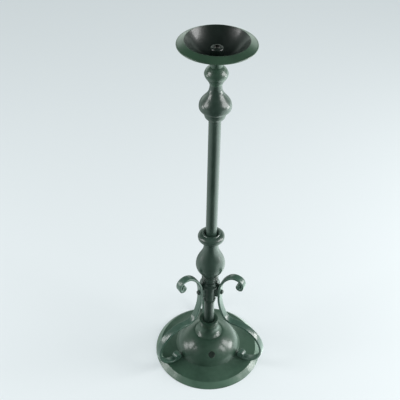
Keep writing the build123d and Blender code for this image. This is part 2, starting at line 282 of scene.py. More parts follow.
# %% [markdown]
# ## Turning on the lathe
#
# A turned piece is the same all round, so it is drawn once, as half of its section, and spun about the
# column. We start from a plane merged to one point, extrude that point along the outline and spin the
# closed line by a full turn. Hard edges get a small bevel, because no real edge is perfectly sharp and
# the bevel catches the light.

# %% Outline helpers
MM = 0.001
curve_pull = 0.40            # length of a curve's handles, as a share of its chord
curve_parts = 14
bow_parts = 12


def curve(start, end, leave, arrive):
    """Points of a smooth curve after start, that leaves and arrives in the given directions."""
    a, b = Vector(start), Vector(end)
    pull = (b - a).length * curve_pull
    first = a + Vector(leave).normalized() * pull
    last = b - Vector(arrive).normalized() * pull
    found = []
    for i in range(1, curve_parts + 1):
        t = i / curve_parts
        s = 1 - t
        found.append(tuple(a * s ** 3 + first * 3 * s * s * t + last * 3 * s * t * t + b * t ** 3))
    return found


def bow(start, end, bulge):
    """Points of an arc after start that stands off the straight line by bulge, to the right of travel."""
    a, b = Vector(start), Vector(end)
    chord = b - a
    across = Vector((chord.y, -chord.x)).normalized()
    radius = chord.length ** 2 / (8 * abs(bulge)) + abs(bulge) / 2
    found = []
    for i in range(1, bow_parts + 1):
        t = i / bow_parts
        along = (t - 0.5) * chord.length
        rise = math.sqrt(radius ** 2 - along ** 2) - (radius - abs(bulge))
        found.append(tuple(a + chord * t + across * math.copysign(rise, bulge)))
    return found


# %% Spin helper
spin_steps = 144
edge_turn = math.radians(34)
smooth_turn = math.radians(46)
weld = 0.002 * MM


def start_piece(name, first):
    """A new mesh of one selected point, left in edit mode."""
    bpy.ops.object.select_all(action="DESELECT")
    bpy.ops.mesh.primitive_plane_add(size=MM)
    piece = bpy.context.object
    piece.name = name
    piece.data.name = name
    bpy.ops.object.mode_set(mode="EDIT")
    bpy.ops.mesh.select_mode(type="VERT")
    bpy.ops.mesh.merge(type="CENTER")
    bpy.ops.mesh.select_all(action="SELECT")
    bpy.ops.transform.translate(value=first)
    return piece


def bevel_edges(width, parts=3):
    """Round the active piece's hard edges, apply the modifiers and shade it smooth."""
    piece = bpy.context.object
    if width > 0:
        bpy.ops.object.modifier_add(type="BEVEL")
        rounding = piece.modifiers[-1]
        rounding.width = width * MM
        rounding.segments = parts
        rounding.limit_method = "ANGLE"
        rounding.angle_limit = edge_turn
        bpy.ops.object.modifier_apply(modifier=rounding.name)
    bpy.ops.object.shade_smooth_by_angle(angle=smooth_turn)
    bpy.ops.object.modifier_add(type="WEIGHTED_NORMAL")
    flats = piece.modifiers[-1]
    flats.keep_sharp = True
    bpy.ops.object.modifier_apply(modifier=flats.name)


def lathe(name, outline, steps, closed=True):
    """Draw an outline of (radius, height) points, in millimetres, and spin it about the column's axis."""
    points = [Vector((r * MM, 0, z * MM)) for r, z in outline]
    piece = start_piece(name, points[0])
    last = points[:1] if closed else []
    for here, there in zip(points, points[1:] + last):
        bpy.ops.mesh.extrude_region_move(TRANSFORM_OT_translate={"value": there - here})
    bpy.ops.mesh.select_all(action="SELECT")
    bpy.ops.mesh.remove_doubles(threshold=weld)
    bpy.ops.mesh.spin(steps=steps, angle=math.tau, center=(0, 0, 0), axis=(0, 0, 1))
    bpy.ops.mesh.select_all(action="SELECT")
    bpy.ops.mesh.remove_doubles(threshold=weld)
    bpy.ops.mesh.normals_make_consistent(inside=False)
    bpy.ops.object.mode_set(mode="OBJECT")
    return piece


def turned(name, outline, edge=0.3, steps=spin_steps):
    """A turned piece with its hard edges eased."""
    piece = lathe(name, outline, steps)
    bevel_edges(edge)
    print(name, len(outline), "outline points,", len(piece.data.polygons), "faces")
    return piece


def ring(name, node, inner, outer, edge, steps):
    """A plain ring or tube between the heights of its node."""
    low, high = heights(node)
    return turned(name, [(inner, low), (outer, low), (outer, high), (inner, high)], edge, steps)


def stands_for(piece, slot, material, *nodes):
    """Give a finished piece its finish and tell the frame which nodes it is seen in place of."""
    piece.data.materials.clear()
    piece.data.materials.append(material)
    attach(piece, "root")
    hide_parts(*nodes)


def heights(node):
    """Bottom and top of a node, in millimetres."""
    low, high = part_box(node)
    return low.z / MM, high.z / MM


print("a spun piece has", spin_steps, "steps round")

# %% [markdown]
# ## The enamel
#
# The real stick is painted with a dark green stove enamel. It is not one flat colour: it drifts between a
# deep bottle green and a greyer green over a few centimetres, it is rubbed thin and a little yellow on
# the edges that hands and cloths reach, and its gloss is broken by a very fine orange peel. Each of these
# effects is a node group, built once and placed in every enamel with its own values.

# %% Group: cloudy colour
COLOUR, VALUE = "NodeSocketColor", "NodeSocketFloat"


def new_group(name, inputs, outputs):
    """A shader node group with its sockets, and a function that adds nodes to it."""
    group = bpy.data.node_groups.new(name, "ShaderNodeTree")
    for label, kind, value in inputs:
        socket = group.interface.new_socket(name=label, in_out="INPUT", socket_type=kind)
        socket.default_value = value
    for label, kind in outputs:
        group.interface.new_socket(name=label, in_out="OUTPUT", socket_type=kind)
    add = adder(group)
    return group, add("NodeGroupInput", -900, 0), add("NodeGroupOutput", 700, 0), add


def cloudy_group():
    """Drifts between a deep and a light colour, with a fine mottle on top."""
    group, enter, leave, add = new_group(
        "enamel_cloud",
        [("Deep", COLOUR, (0, 0, 0, 1)), ("Light", COLOUR, (1, 1, 1, 1)), ("Cloud", VALUE, 18.0),
         ("Mottle", VALUE, 160.0)],
        [("Color", COLOUR), ("Drift", VALUE)])
    place = add("ShaderNodeTexCoord", -700, -200)
    broad = fill(add("ShaderNodeTexNoise", -500, 100), Detail=3.0)
    fine = fill(add("ShaderNodeTexNoise", -500, -200), Detail=2.0)
    spread = fill(add("ShaderNodeMapRange", -250, 100), From_Min=0.32, From_Max=0.68)
    speck = fill(add("ShaderNodeMapRange", -250, -200), From_Min=0.35, From_Max=0.75, To_Max=0.35)
    both = add("ShaderNodeMath", 0, 0, operation="ADD", use_clamp=True)
    paint = add("ShaderNodeMix", 250, 0, data_type="RGBA")
    join(group,
         (place.outputs["Object"], broad.inputs["Vector"]),
         (place.outputs["Object"], fine.inputs["Vector"]),
         (enter.outputs["Cloud"], broad.inputs["Scale"]),
         (enter.outputs["Mottle"], fine.inputs["Scale"]),
         (broad.outputs["Fac"], spread.inputs["Value"]),
         (fine.outputs["Fac"], speck.inputs["Value"]),
         (spread.outputs[0], both.inputs[0]),
         (speck.outputs[0], both.inputs[1]),
         (both.outputs[0], paint.inputs["Factor"]),
         (enter.outputs["Deep"], paint.inputs["A"]),
         (enter.outputs["Light"], paint.inputs["B"]),
         (paint.outputs["Result"], leave.inputs["Color"]),
         (both.outputs[0], leave.inputs["Drift"]))
    return group


enamel_cloud = cloudy_group()
print("group", enamel_cloud.name, "with", len(enamel_cloud.nodes), "nodes")

# %% Group: rubbed edges
def rubbed_group():
    """A mask that is 1 on outward edges, broken up by noise, where polish has thinned the paint."""
    group, enter, leave, add = new_group(
        "rubbed_edges",
        [("Start", VALUE, 0.53), ("End", VALUE, 0.62), ("Amount", VALUE, 1.0)],
        [("Mask", VALUE)])
    shape = add("ShaderNodeNewGeometry", -700, 200)
    place = add("ShaderNodeTexCoord", -700, -200)
    patchy = fill(add("ShaderNodeTexNoise", -500, -200), Scale=90.0, Detail=4.0)
    edge = add("ShaderNodeMapRange", -250, 200)
    worn = fill(add("ShaderNodeMapRange", -250, -200), From_Min=0.38, From_Max=0.62)
    times = add("ShaderNodeMath", 0, 100, operation="MULTIPLY", use_clamp=True)
    scaled = add("ShaderNodeMath", 250, 100, operation="MULTIPLY", use_clamp=True)
    join(group,
         (shape.outputs["Pointiness"], edge.inputs["Value"]),
         (enter.outputs["Start"], edge.inputs["From Min"]),
         (enter.outputs["End"], edge.inputs["From Max"]),
         (place.outputs["Object"], patchy.inputs["Vector"]),
         (patchy.outputs["Fac"], worn.inputs["Value"]),
         (edge.outputs[0], times.inputs[0]),
         (worn.outputs[0], times.inputs[1]),
         (times.outputs[0], scaled.inputs[0]),
         (enter.outputs["Amount"], scaled.inputs[1]),
         (scaled.outputs[0], leave.inputs["Mask"]))
    return group


rubbed_edges = rubbed_group()
print("group", rubbed_edges.name, "with", len(rubbed_edges.nodes), "nodes")

# %% Group: orange peel and casting
def peel_group():
    """Height of a sprayed and stoved skin: a fine orange peel over the slow waves of a casting."""
    group, enter, leave, add = new_group(
        "orange_peel",
        [("Peel Scale", VALUE, 900.0), ("Wave Scale", VALUE, 60.0), ("Wave Share", VALUE, 0.5)],
        [("Height", VALUE)])
    place = add("ShaderNodeTexCoord", -700, -200)
    peel = fill(add("ShaderNodeTexNoise", -500, 100), Detail=1.0)
    wave = fill(add("ShaderNodeTexNoise", -500, -200), Detail=2.0)
    share = add("ShaderNodeMix", 0, 0, data_type="FLOAT")
    join(group,
         (place.outputs["Object"], peel.inputs["Vector"]),
         (place.outputs["Object"], wave.inputs["Vector"]),
         (enter.outputs["Peel Scale"], peel.inputs["Scale"]),
         (enter.outputs["Wave Scale"], wave.inputs["Scale"]),
         (enter.outputs["Wave Share"], share.inputs["Factor"]),
         (peel.outputs["Fac"], share.inputs["A"]),
         (wave.outputs["Fac"], share.inputs["B"]),
         (share.outputs["Result"], leave.inputs["Height"]))
    return group


orange_peel = peel_group()
print("group", orange_peel.name, "with", len(orange_peel.nodes), "nodes")

# %% Group: painted light on a brim
def ring_group():
    """A mask that rises between two distances from the column, for a brim painted paler all round as painted
    light.
    """
    group, enter, leave, add = new_group(
        "brim_painted_light",
        [("Inner", VALUE, 0.090), ("Outer", VALUE, 0.093), ("Amount", VALUE, 0.0)],
        [("Mask", VALUE)])
    place = add("ShaderNodeTexCoord", -700, 0)
    flat = add("ShaderNodeVectorMath", -500, 0, operation="MULTIPLY")
    flat.inputs[1].default_value = (1.0, 1.0, 0.0)
    reach = add("ShaderNodeVectorMath", -300, 0, operation="LENGTH")
    rise = add("ShaderNodeMapRange", -100, 0, interpolation_type="SMOOTHSTEP")
    drift = fill(add("ShaderNodeTexNoise", -500, -300), Scale=30.0)
    uneven = fill(add("ShaderNodeMapRange", -300, -300), From_Min=0.3, From_Max=0.6, To_Min=0.6)
    once = add("ShaderNodeMath", 100, 0, operation="MULTIPLY")
    twice = add("ShaderNodeMath", 300, 0, operation="MULTIPLY", use_clamp=True)
    join(group,
         (place.outputs["Object"], flat.inputs[0]),
         (flat.outputs[0], reach.inputs[0]),
         (reach.outputs["Value"], rise.inputs["Value"]),
         (enter.outputs["Inner"], rise.inputs["From Min"]),
         (enter.outputs["Outer"], rise.inputs["From Max"]),
         (place.outputs["Object"], drift.inputs["Vector"]),
         (drift.outputs["Fac"], uneven.inputs["Value"]),
         (rise.outputs[0], once.inputs[0]),
         (uneven.outputs[0], once.inputs[1]),
         (once.outputs[0], twice.inputs[0]),
         (enter.outputs["Amount"], twice.inputs[1]),
         (twice.outputs[0], leave.inputs["Mask"]))
    return group


brim_painted_light = ring_group()
print("group", brim_painted_light.name, "with", len(brim_painted_light.nodes), "nodes")

# %% [markdown]
# Now the enamels themselves. All are the same paint, so one function makes them, but each part of the
# stick was sprayed and worn a little differently: the base is greener, the column is greyer and the pan is
# painted almost black. The brims of the base and the pan are painted paler all round, as painted light.

# %% Enamels
enamel_ior = 1.5
coat_rough = 0.16
skin_strength = 0.35
brim_blend = 0.002


def enamel(name, deep, light, rub=(0.12, 0.15, 0.07, 1.0), rub_amount=0.4, gloss=0.34, coat=0.5,
           cloud=16.0, wave_share=0.5, bump=0.0004, brim=None, brim_from=0.090):
    """A dark stove enamel over metal."""
    material, tree, add = new_material(name)
    colour = fill(add("ShaderNodeGroup", -700, 200, node_tree=enamel_cloud),
                  Deep=deep, Light=light, Cloud=cloud)
    worn = fill(add("ShaderNodeGroup", -700, -50, node_tree=rubbed_edges), Amount=rub_amount)
    skin = fill(add("ShaderNodeGroup", -700, -300, node_tree=orange_peel), Wave_Share=wave_share)
    # painted light: beyond brim_from the paint turns paler, standing in for the light that the brim catches
    pale = fill(add("ShaderNodeGroup", -700, 450, node_tree=brim_painted_light),
                Inner=brim_from, Outer=brim_from + brim_blend, Amount=1.0 if brim else 0.0)
    rim = fill(add("ShaderNodeMix", -500, 350, data_type="RGBA"), B=brim or light)
    paint = fill(add("ShaderNodeMix", -300, 200, data_type="RGBA"), B=rub)
    sheen = fill(add("ShaderNodeMapRange", -400, -50), To_Min=gloss, To_Max=gloss + 0.1)
    relief = fill(add("ShaderNodeBump", -400, -300), Distance=bump, Strength=skin_strength)
    shader = fill(add("ShaderNodeBsdfPrincipled", 0, 100),
                  IOR=enamel_ior, Coat_Weight=coat, Coat_Roughness=coat_rough)
    out = add("ShaderNodeOutputMaterial", 300, 100)
    join(tree,
         (colour.outputs["Color"], rim.inputs["A"]),
         (pale.outputs["Mask"], rim.inputs["Factor"]),
         (rim.outputs["Result"], paint.inputs["A"]),
         (worn.outputs["Mask"], paint.inputs["Factor"]),
         (colour.outputs["Drift"], sheen.inputs["Value"]),
         (skin.outputs["Height"], relief.inputs["Height"]),
         (paint.outputs["Result"], shader.inputs["Base Color"]),
         (sheen.outputs[0], shader.inputs["Roughness"]),
         (relief.outputs["Normal"], shader.inputs["Normal"]),
         (shader.outputs[0], out.inputs["Surface"]))
    return material


# the base's paler brim colour is painted light
base_enamel = enamel("base_green", (0.018, 0.046, 0.029, 1), (0.036, 0.080, 0.052, 1), rub_amount=0.5,
                     brim=(0.062, 0.125, 0.084, 1))
column_enamel = enamel("column_green", (0.014, 0.032, 0.023, 1), (0.028, 0.056, 0.041, 1), rub_amount=0.3)
scroll_enamel = enamel("scroll_green", (0.030, 0.070, 0.050, 1), (0.052, 0.102, 0.076, 1), rub_amount=0.6,
                       gloss=0.28)
# the pan is painted almost black, and its paler brim colour is painted light
pan_enamel = enamel("pan_green", (0.005, 0.011, 0.008, 1), (0.012, 0.022, 0.017, 1), rub_amount=0.25,
                    brim=(0.028, 0.070, 0.039, 1), brim_from=0.046)
screw_enamel = enamel("screw_green", (0.010, 0.024, 0.017, 1), (0.022, 0.046, 0.034, 1), rub_amount=0.8)
print("enamels:", [m.name for m in (base_enamel, column_enamel, scroll_enamel, pan_enamel, screw_enamel)])

# %% [markdown]
# ## Plain steel
#
# The rod, its lower nut and the washers are out of sight under the base and were never painted. They are
# zinc-dull steel: metallic, fairly rough and a little stained. The rod is given a near-black colour as
# painted shade, so the hole at the top looks black.

# %% Steel
def steel(name, dark, bright):
    """Dull plain steel with faint stains."""
    material, tree, add = new_material(name)
    tone = fill(add("ShaderNodeGroup", -600, 200, node_tree=enamel_cloud),
                Deep=dark, Light=bright, Cloud=60.0, Mottle=400.0)
    rough = fill(add("ShaderNodeMapRange", -300, 0), To_Min=0.34, To_Max=0.52)
    shader = fill(add("ShaderNodeBsdfPrincipled", 0, 100), Metallic=1.0)
    out = add("ShaderNodeOutputMaterial", 300, 100)
    join(tree,
         (tone.outputs["Color"], shader.inputs["Base Color"]),
         (tone.outputs["Drift"], rough.inputs["Value"]),
         (rough.outputs[0], shader.inputs["Roughness"]),
         (shader.outputs[0], out.inputs["Surface"]))
    return material


plain_steel = steel("plain_steel", (0.34, 0.33, 0.30, 1), (0.52, 0.52, 0.50, 1))
# painted shade: the rod's near-black colour stands in for the shade in the deep hole of the nut
rod_painted_shade = steel("rod_painted_shade", (0.035, 0.035, 0.033, 1), (0.09, 0.09, 0.085, 1))
print("steels:", plain_steel.name, rod_painted_shade.name)

# %% [markdown]
# ## The base
#
# The base is spun from one disc of sheet metal: a sloping brim, a shallow hollow ring and a dome that
# carries everything. It is open below, so the outline runs up the outside, over the top and back down the
# inside, a wall's thickness away. A hole for a cord is drilled through the front of the dome, and its rim
# is eased with a small flare, so the cutter is a cylinder whose outer end is widened.

# %% Spun base
rod_hole_r = 5.2
base_r, foot_ring_r, edge_height = 99.6, 97.1, 1.6
base_top, base_inner_top = 50.0, 47.5
hollow_sag, dome_bulge, inner_bulge = 0.7, 5.9, 5.54
ridge, dome_foot, dome_top = (91.0, 10.2), (60.5, 16.6), (25.6, base_top)
inner_ridge, inner_crease, inner_foot = (89.84, 7.82), (59.77, 14.21), (58.13, 15.79)
inner_top = (25.24, base_inner_top)

base_line = [(foot_ring_r, 0.0), (base_r, 0.0), (base_r, edge_height), ridge]
base_line += bow(ridge, dome_foot, -hollow_sag)
base_line += bow(dome_foot, dome_top, dome_bulge)
base_line += [(rod_hole_r, base_top), (rod_hole_r, base_inner_top), inner_top]
base_line += bow(inner_top, inner_foot, -inner_bulge)
base_line += [inner_crease]
base_line += bow(inner_crease, inner_ridge, hollow_sag)
base_line += [(foot_ring_r, 0.56)]
spun_base = turned("spun_base", base_line, edge=0.45, steps=216)

# %% Cord hole
cord_hole_r = 6.2 * MM
cord_hole_flare = 0.7 * MM
hole_azimuth = math.radians(4.0)
dome_run, dome_rise = dome_foot[0] - dome_top[0], dome_top[1] - dome_foot[1]
hole_share, hole_stand = 0.46, 5.86
dome_slope = math.atan2(dome_rise, dome_run)
hole_out = (dome_foot[0] - hole_share * dome_run + hole_stand * math.sin(dome_slope)) * MM
hole_up = (dome_foot[1] + hole_share * dome_rise + hole_stand * math.cos(dome_slope)) * MM
hole_spot = Vector((hole_out * math.sin(hole_azimuth), -hole_out * math.cos(hole_azimuth), hole_up))
hole_aim = Vector((math.sin(dome_slope) * math.sin(hole_azimuth),
                   -math.sin(dome_slope) * math.cos(hole_azimuth), math.cos(dome_slope)))


def take(piece):
    """Select one piece alone and make it the active one."""
    bpy.ops.object.select_all(action="DESELECT")
    piece.select_set(True)
    bpy.context.view_layer.objects.active = piece


def cut(piece, cutter, operation="DIFFERENCE"):
    """Apply a boolean between the piece and a cutter, and remove the cutter."""
    take(piece)
    bpy.ops.object.modifier_add(type="BOOLEAN")
    step = piece.modifiers[-1]
    step.object = cutter
    step.operation = operation
    step.solver = "EXACT"
    bpy.ops.object.modifier_apply(modifier=step.name)
    bpy.data.objects.remove(cutter)


def select_where(test):
    """In face mode of the piece in edit mode, select the faces that pass the test."""
    bpy.ops.mesh.select_mode(type="FACE")
    bpy.ops.mesh.select_all(action="DESELECT")
    mesh = bmesh.from_edit_mesh(bpy.context.object.data)
    for face in mesh.faces:
        face.select_set(bool(test(face)))
    bmesh.update_edit_mesh(bpy.context.object.data)


bpy.ops.object.select_all(action="DESELECT")
bpy.ops.mesh.primitive_cylinder_add(vertices=64, radius=cord_hole_r, depth=12 * MM, location=(0, 0, -6 * MM))
drill = bpy.context.object
bpy.ops.object.mode_set(mode="EDIT")
select_where(lambda face: face.normal.z > 0.9)
bpy.ops.transform.translate(value=(0, 0, -cord_hole_flare))
bpy.ops.mesh.extrude_region_move(TRANSFORM_OT_translate={"value": (0, 0, 3 * cord_hole_flare)})
bpy.ops.transform.resize(value=(1.34, 1.34, 1))
bpy.ops.object.mode_set(mode="OBJECT")
drill.matrix_world = hole_aim.to_track_quat("Z", "Y").to_matrix().to_4x4()
drill.location = hole_spot
bpy.context.view_layer.update()
cut(spun_base, drill)
bpy.ops.object.shade_smooth_by_angle(angle=smooth_turn)
stands_for(spun_base, "base_enamel", base_enamel, "base_shell")
print("cord hole", round(2 * cord_hole_r / MM, 1), "mm across")

# %% [markdown]
# ## The neck and the lower tube
#
# The neck is a bell-mouthed casting, turned on the lathe. Two fine grooves run round its rim, and its top
# is dished, so that the tube seems to rise out of a small cup. The tube is plain and stands in a socket.

# %% Neck
neck_z = heights("neck")[0]
neck_rim = 17.4
rim_foot, rim_top = neck_z + 21.0, neck_z + 33.0
groove_half = 0.75
socket_r, socket_deep = 9.57, 8.0        # of the sockets that the tubes stand in
groove_levels = (rim_foot + 4.2, rim_foot + 7.8)

neck_line = [(rod_hole_r, neck_z), (24.8, neck_z), (24.8, neck_z + 1.2)]
neck_line += curve(neck_line[-1], (15.6, neck_z + 18.0), (-1, 0.6), (0, 1))
neck_line += [(15.6, rim_foot), (neck_rim, rim_foot + 0.8)]
for level in groove_levels:
    foot, head = (neck_rim, level - groove_half), (neck_rim, level + groove_half)
    neck_line += [foot] + bow(foot, head, -0.6)
neck_line += [(neck_rim, rim_top), (14.8, rim_top)]
neck_line += bow((14.8, rim_top), (socket_r, rim_top - 3.0), 0.8)
neck_line += [(socket_r, rim_top - 3.0 - socket_deep), (rod_hole_r, rim_top - 3.0 - socket_deep)]
turned_neck = turned("turned_neck", neck_line, edge=0.4)
stands_for(turned_neck, "column_enamel", base_enamel, "neck")

# %% Tubes
tube_outer, tube_inner = 9.52, 7.92

for name, node in (("lower_stem", "lower_tube"), ("tall_stem", "column_tube")):
    stem = ring(name, node, tube_inner, tube_outer, edge=0.2, steps=96)
    stands_for(stem, "column_enamel", column_enamel, node)

# %% [markdown]
# ## The hub
#
# The hub holds the three scrolls. It is a turned drum with a rounded foot, and three square lugs stand out
# of it, one behind each scroll. Each lug starts as a block, its edges are bevelled and a boolean union
# makes it one with the drum.

# %% Hub
scroll_azimuths = {"right": 60.0, "left": -60.0, "back": 180.0}
lug_root, lug_reach, lug_width, lug_height, lug_ease = 8.0, 18.4, 12.5, 20.0, 0.6
screw_z = 165.0

hub_z, hub_top = heights("hub")
hub_r = 13.2
hub_line = [(socket_r, hub_z), (10.3, hub_z)]
hub_line += curve(hub_line[-1], (hub_r, hub_z + 12.0), (0.5, 1), (0, 1))
hub_line += [(hub_r, hub_top), (rod_hole_r, hub_top), (rod_hole_r, hub_z + socket_deep),
             (socket_r, hub_z + socket_deep)]
turned_hub = turned("turned_hub", hub_line, edge=0.5)


def out_along(azimuth, reach, height):
    """Point at a distance from the column, in the direction of an azimuth, in metres."""
    turn = math.radians(azimuth)
    return Vector((math.sin(turn) * reach, -math.cos(turn) * reach, height)) * MM


def block(size, place, turn, ease=0.0):
    """A box of a size in millimetres at a place, turned, with its edges rounded if asked."""
    bpy.ops.object.select_all(action="DESELECT")
    bpy.ops.mesh.primitive_cube_add(size=MM, location=place, rotation=turn)
    bpy.ops.object.mode_set(mode="EDIT")
    bpy.ops.transform.resize(value=size, orient_type="LOCAL")
    if ease:
        bpy.ops.mesh.bevel(offset=ease * MM, segments=3)
    bpy.ops.object.mode_set(mode="OBJECT")
    return bpy.context.object


for azimuth in scroll_azimuths.values():
    lug = block((lug_reach - lug_root, lug_width, lug_height),
                out_along(azimuth, (lug_root + lug_reach) / 2, screw_z),
                (0, 0, math.radians(azimuth - 90)), lug_ease)
    cut(turned_hub, lug, "UNION")
bpy.ops.object.shade_smooth_by_angle(angle=smooth_turn)
stands_for(turned_hub, "column_enamel", column_enamel, "hub")
print("hub with", len(scroll_azimuths), "lugs")

# %% [markdown]
# ## The turnings above the hub
#
# A coved flange covers the lugs, a ringed waist stands on it, and the pear-shaped baluster carries a thick
# collar. The collar's top has a raised ring and is dished round the foot of the column. All of them are
# separate turnings, threaded on the same rod like beads, so a fine joint shows between them.

# %% Flange and waist
flange_z, flange_top = heights("flange")
flange_line = [(rod_hole_r, flange_z), (18.2, flange_z), (18.2, flange_z + 1.8)]
flange_line += bow(flange_line[-1], (15.0, flange_top), -1.0) + [(rod_hole_r, flange_top)]
coved_flange = turned("coved_flange", flange_line, edge=0.35)
stands_for(coved_flange, "column_enamel", column_enamel, "flange")

waist_z, waist_top = heights("ringed_waist")
bead_count, bead_half, bead_stand, waist_core = 3, 1.5, 0.95, 13.95
waist_line = [(rod_hole_r, waist_z), (waist_core, waist_z)]
for i in range(bead_count):
    level = waist_z + (i + 0.5) * (waist_top - waist_z) / bead_count
    foot = (waist_core, level - bead_half)
    waist_line += [foot] + bow(foot, (waist_core, level + bead_half), bead_stand)
waist_line += [(waist_core, waist_top), (rod_hole_r, waist_top)]
beaded_waist = turned("beaded_waist", waist_line, edge=0.15)
stands_for(beaded_waist, "column_enamel", column_enamel, "ringed_waist")

# %% Baluster
pear_z, pear_top = heights("baluster")
pear_foot, pear_belly, pear_throat = (14.9, pear_z), (25.6, pear_z + 25.0), (12.6, pear_z + 68.0)
pear_line = [(rod_hole_r, pear_z), pear_foot]
pear_line += curve(pear_foot, pear_belly, (0.5, 1), (0, 1))
pear_line += curve(pear_belly, pear_throat, (0, 1), (0, 1))
pear_line += curve(pear_throat, (13.4, pear_top), (0, 1), (0.5, 1))
pear_line += [(rod_hole_r, pear_top)]
pear_baluster = turned("pear_baluster", pear_line, edge=0.3)
stands_for(pear_baluster, "column_enamel", column_enamel, "baluster")

# %% Collar
collar_z, collar_top = heights("collar")
belly, shoulder = (22.9, collar_z + 8.0), (15.2, collar_top - 1.2)
collar_line = [(rod_hole_r, collar_z), (15.0, collar_z)]
collar_line += curve((15.0, collar_z), belly, (1, 0.2), (0, 1))
collar_line += curve(belly, shoulder, (0, 1), (-1, 0.15))
collar_dish = collar_top - 5.0
collar_line += [(14.4, collar_top), (12.2, collar_top), (socket_r, collar_dish)]
collar_line += [(socket_r, collar_dish - socket_deep), (rod_hole_r, collar_dish - socket_deep)]
thick_collar = turned("thick_collar", collar_line, edge=0.35)
stands_for(thick_collar, "column_enamel", column_enamel, "collar")

# %% [markdown]
# ## The top of the column
#
# The tube ends in a half bead. An upturned bell, a bead with a narrow band and a small trumpet stand on it
# and lead up to the pan.

# %% Seat, bell, bead and trumpet
seat_z, seat_top = heights("column_seat")
seat_r = 16.7
seat_line = [(socket_r, seat_z), (10.6, seat_z)]
seat_line += curve(seat_line[-1], (seat_r, seat_top - 3.0), (1, 0.6), (0, 1))
seat_line += [(seat_r, seat_top), (rod_hole_r, seat_top), (rod_hole_r, seat_z + socket_deep),
              (socket_r, seat_z + socket_deep)]
half_bead = turned("half_bead", seat_line, edge=0.3)
stands_for(half_bead, "column_enamel", column_enamel, "column_seat")

bell_z, bell_top = heights("bell")
bell_foot, bell_belly, bell_flank = (15.5, bell_z), (24.8, bell_z + 9.5), (17.3, bell_z + 25.6)
bell_line = [(rod_hole_r, bell_z), bell_foot]
bell_line += curve(bell_foot, bell_belly, (1, 0.25), (0, 1))
bell_line += curve(bell_belly, bell_flank, (0, 1), (-0.9, 1))
bell_line += curve(bell_flank, (9.2, bell_top), (-0.9, 1), (0, 1))
bell_line += [(rod_hole_r, bell_top)]
upturned_bell = turned("upturned_bell", bell_line, edge=0.3)
stands_for(upturned_bell, "column_enamel", column_enamel, "bell")

knop_z, knop_top = heights("top_bead")
band_half, band_level = 0.8, knop_z + 17.8
stalk_r, knop_r = 9.4, 17.8
band_low, band_high = (knop_r, band_level - band_half), (knop_r, band_level + band_half)
knop_line = [(rod_hole_r, knop_z), (stalk_r, knop_z)]
knop_line += curve((stalk_r, knop_z), band_low, (0.2, 1), (0.2, 1))
knop_line += [band_high]
knop_line += curve(band_high, (stalk_r, knop_top), (-0.3, 1), (-1, 0.6))
knop_line += [(rod_hole_r, knop_top)]
banded_bead = turned("banded_bead", knop_line, edge=0.25)
stands_for(banded_bead, "column_enamel", base_enamel, "top_bead")

trumpet_z, trumpet_top = heights("pan_seat")
trumpet_r, trumpet_edge = 15.5, 0.8
trumpet_line = [(rod_hole_r, trumpet_z), (stalk_r, trumpet_z)]
trumpet_line += curve(trumpet_line[-1], (trumpet_r, trumpet_top - trumpet_edge), (0.1, 1), (1, 0.35))
trumpet_line += [(trumpet_r, trumpet_top), (rod_hole_r, trumpet_top)]
pan_trumpet = turned("pan_trumpet", trumpet_line, edge=0.25)
stands_for(pan_trumpet, "column_enamel", base_enamel, "pan_seat")

# %% [markdown]
# ## The drip pan and its nut
#
# The pan is spun from thin sheet: a bowl, a lip and a brim that falls outwards to a rolled edge. A tall
# round nut in the middle pulls the whole stack together. The rod is hollow, so the nut's top shows a hole.

# %% Drip pan
pan_z, pan_top = heights("drip_pan")
pan_wall, pan_floor_r = 1.5, 17.0
lip, knee = (47.0, pan_top), (48.5, pan_top - 2.7)
roll_r = 1.2
roll_foot, roll_head = (57.0, pan_top - 7.65), (57.0, pan_top - 5.25)
pan_line = [(rod_hole_r, pan_z), (pan_floor_r, pan_z)]
pan_line += curve((pan_floor_r, pan_z), knee, (1, 0.5), (0.7, 1))
pan_line += [roll_foot] + bow(roll_foot, roll_head, 0.999 * roll_r)
pan_line += [(56.1, pan_top - 5.15), lip]
pan_line += curve(lip, (pan_floor_r, pan_z + pan_wall), (-0.7, -1), (-1, -0.5))
pan_line += [(rod_hole_r, pan_z + pan_wall)]
spun_pan = turned("spun_pan", pan_line, edge=0.3, steps=192)
stands_for(spun_pan, "pan_enamel", pan_enamel, "drip_pan")

# %% Pan washer and nut
pan_ring = ring("pan_ring", "pan_washer", rod_hole_r, 12.5, edge=0.25, steps=72)
stands_for(pan_ring, "pan_enamel", pan_enamel, "pan_washer")

nut_z, nut_top = heights("pan_nut")
nut_r, nut_round, nut_bore_r = 10.0, 3.0, 5.05
nut_line = [(nut_bore_r, nut_z), (nut_r, nut_z), (nut_r, nut_top - nut_round)]
nut_line += bow(nut_line[-1], (nut_r - nut_round, nut_top), nut_round * (1 - math.sqrt(0.5)))
nut_line += [(nut_bore_r, nut_top)]
round_nut = turned("round_nut", nut_line, edge=0.3, steps=96)
stands_for(round_nut, "pan_enamel", pan_enamel, "pan_nut")

# %% [markdown]
# ## The rod and its fixings
#
# The rod runs inside the whole stick, and only its two ends can be seen. There its thread shows, so the
# ends are turned with fine rings of the thread's pitch. Under the dome a wide washer, a split spring
# washer and a hexagon nut hold it.

# %% Rod
rod_z, rod_top = heights("threaded_rod")
rod_r, rod_bore, rod_chamfer = 5.0, 3.0, 0.6
thread_pitch, thread_deep = 1.25, 0.45
thread_turns = 13
top_turns = 3


def thread_rings(low, count):
    """Outline points of a run of thread rings, upwards from a height."""
    found = []
    for i in range(count):
        foot = low + i * thread_pitch
        found += [(rod_r - thread_deep, foot), (rod_r, foot + 0.45 * thread_pitch),
                  (rod_r, foot + 0.6 * thread_pitch)]
    return found + [(rod_r - thread_deep, low + count * thread_pitch)]


